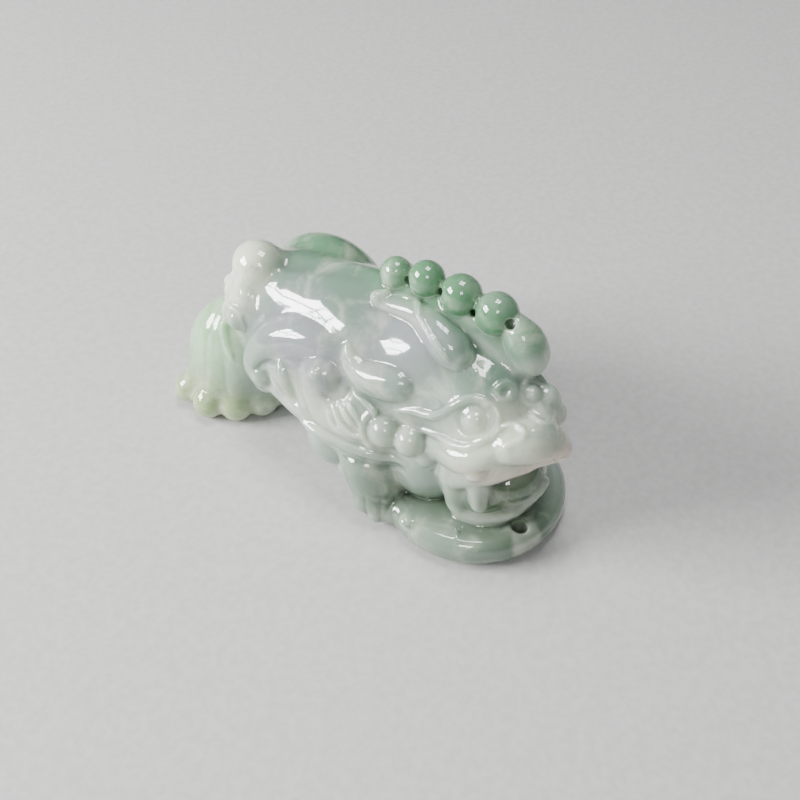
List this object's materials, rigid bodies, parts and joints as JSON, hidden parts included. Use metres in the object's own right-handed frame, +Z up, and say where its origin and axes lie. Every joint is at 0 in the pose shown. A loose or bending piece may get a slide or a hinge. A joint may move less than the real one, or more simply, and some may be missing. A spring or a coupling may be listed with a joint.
{
  "type": "carved jade figurine",
  "caption": "Hand-sized jade carving of a crouching mythical beast with a beaded crest, curled tail and its chin on a round coin drilled for a cord.",
  "frame": {"origin": "middle of the carving's footprint, on the surface it stands on", "axes": "+Z up; the beast looks towards -Y and its tail is towards +Y; its right flank is on the -X side"},
  "size_m": [0.025, 0.0561, 0.0321],
  "materials": {
    "jadeite": "polished translucent jadeite, mint green to lavender white, very glossy"
  },
  "bodies": {
    "root": {"pixiu_carving": "jadeite"}
  },
  "joints": []
}
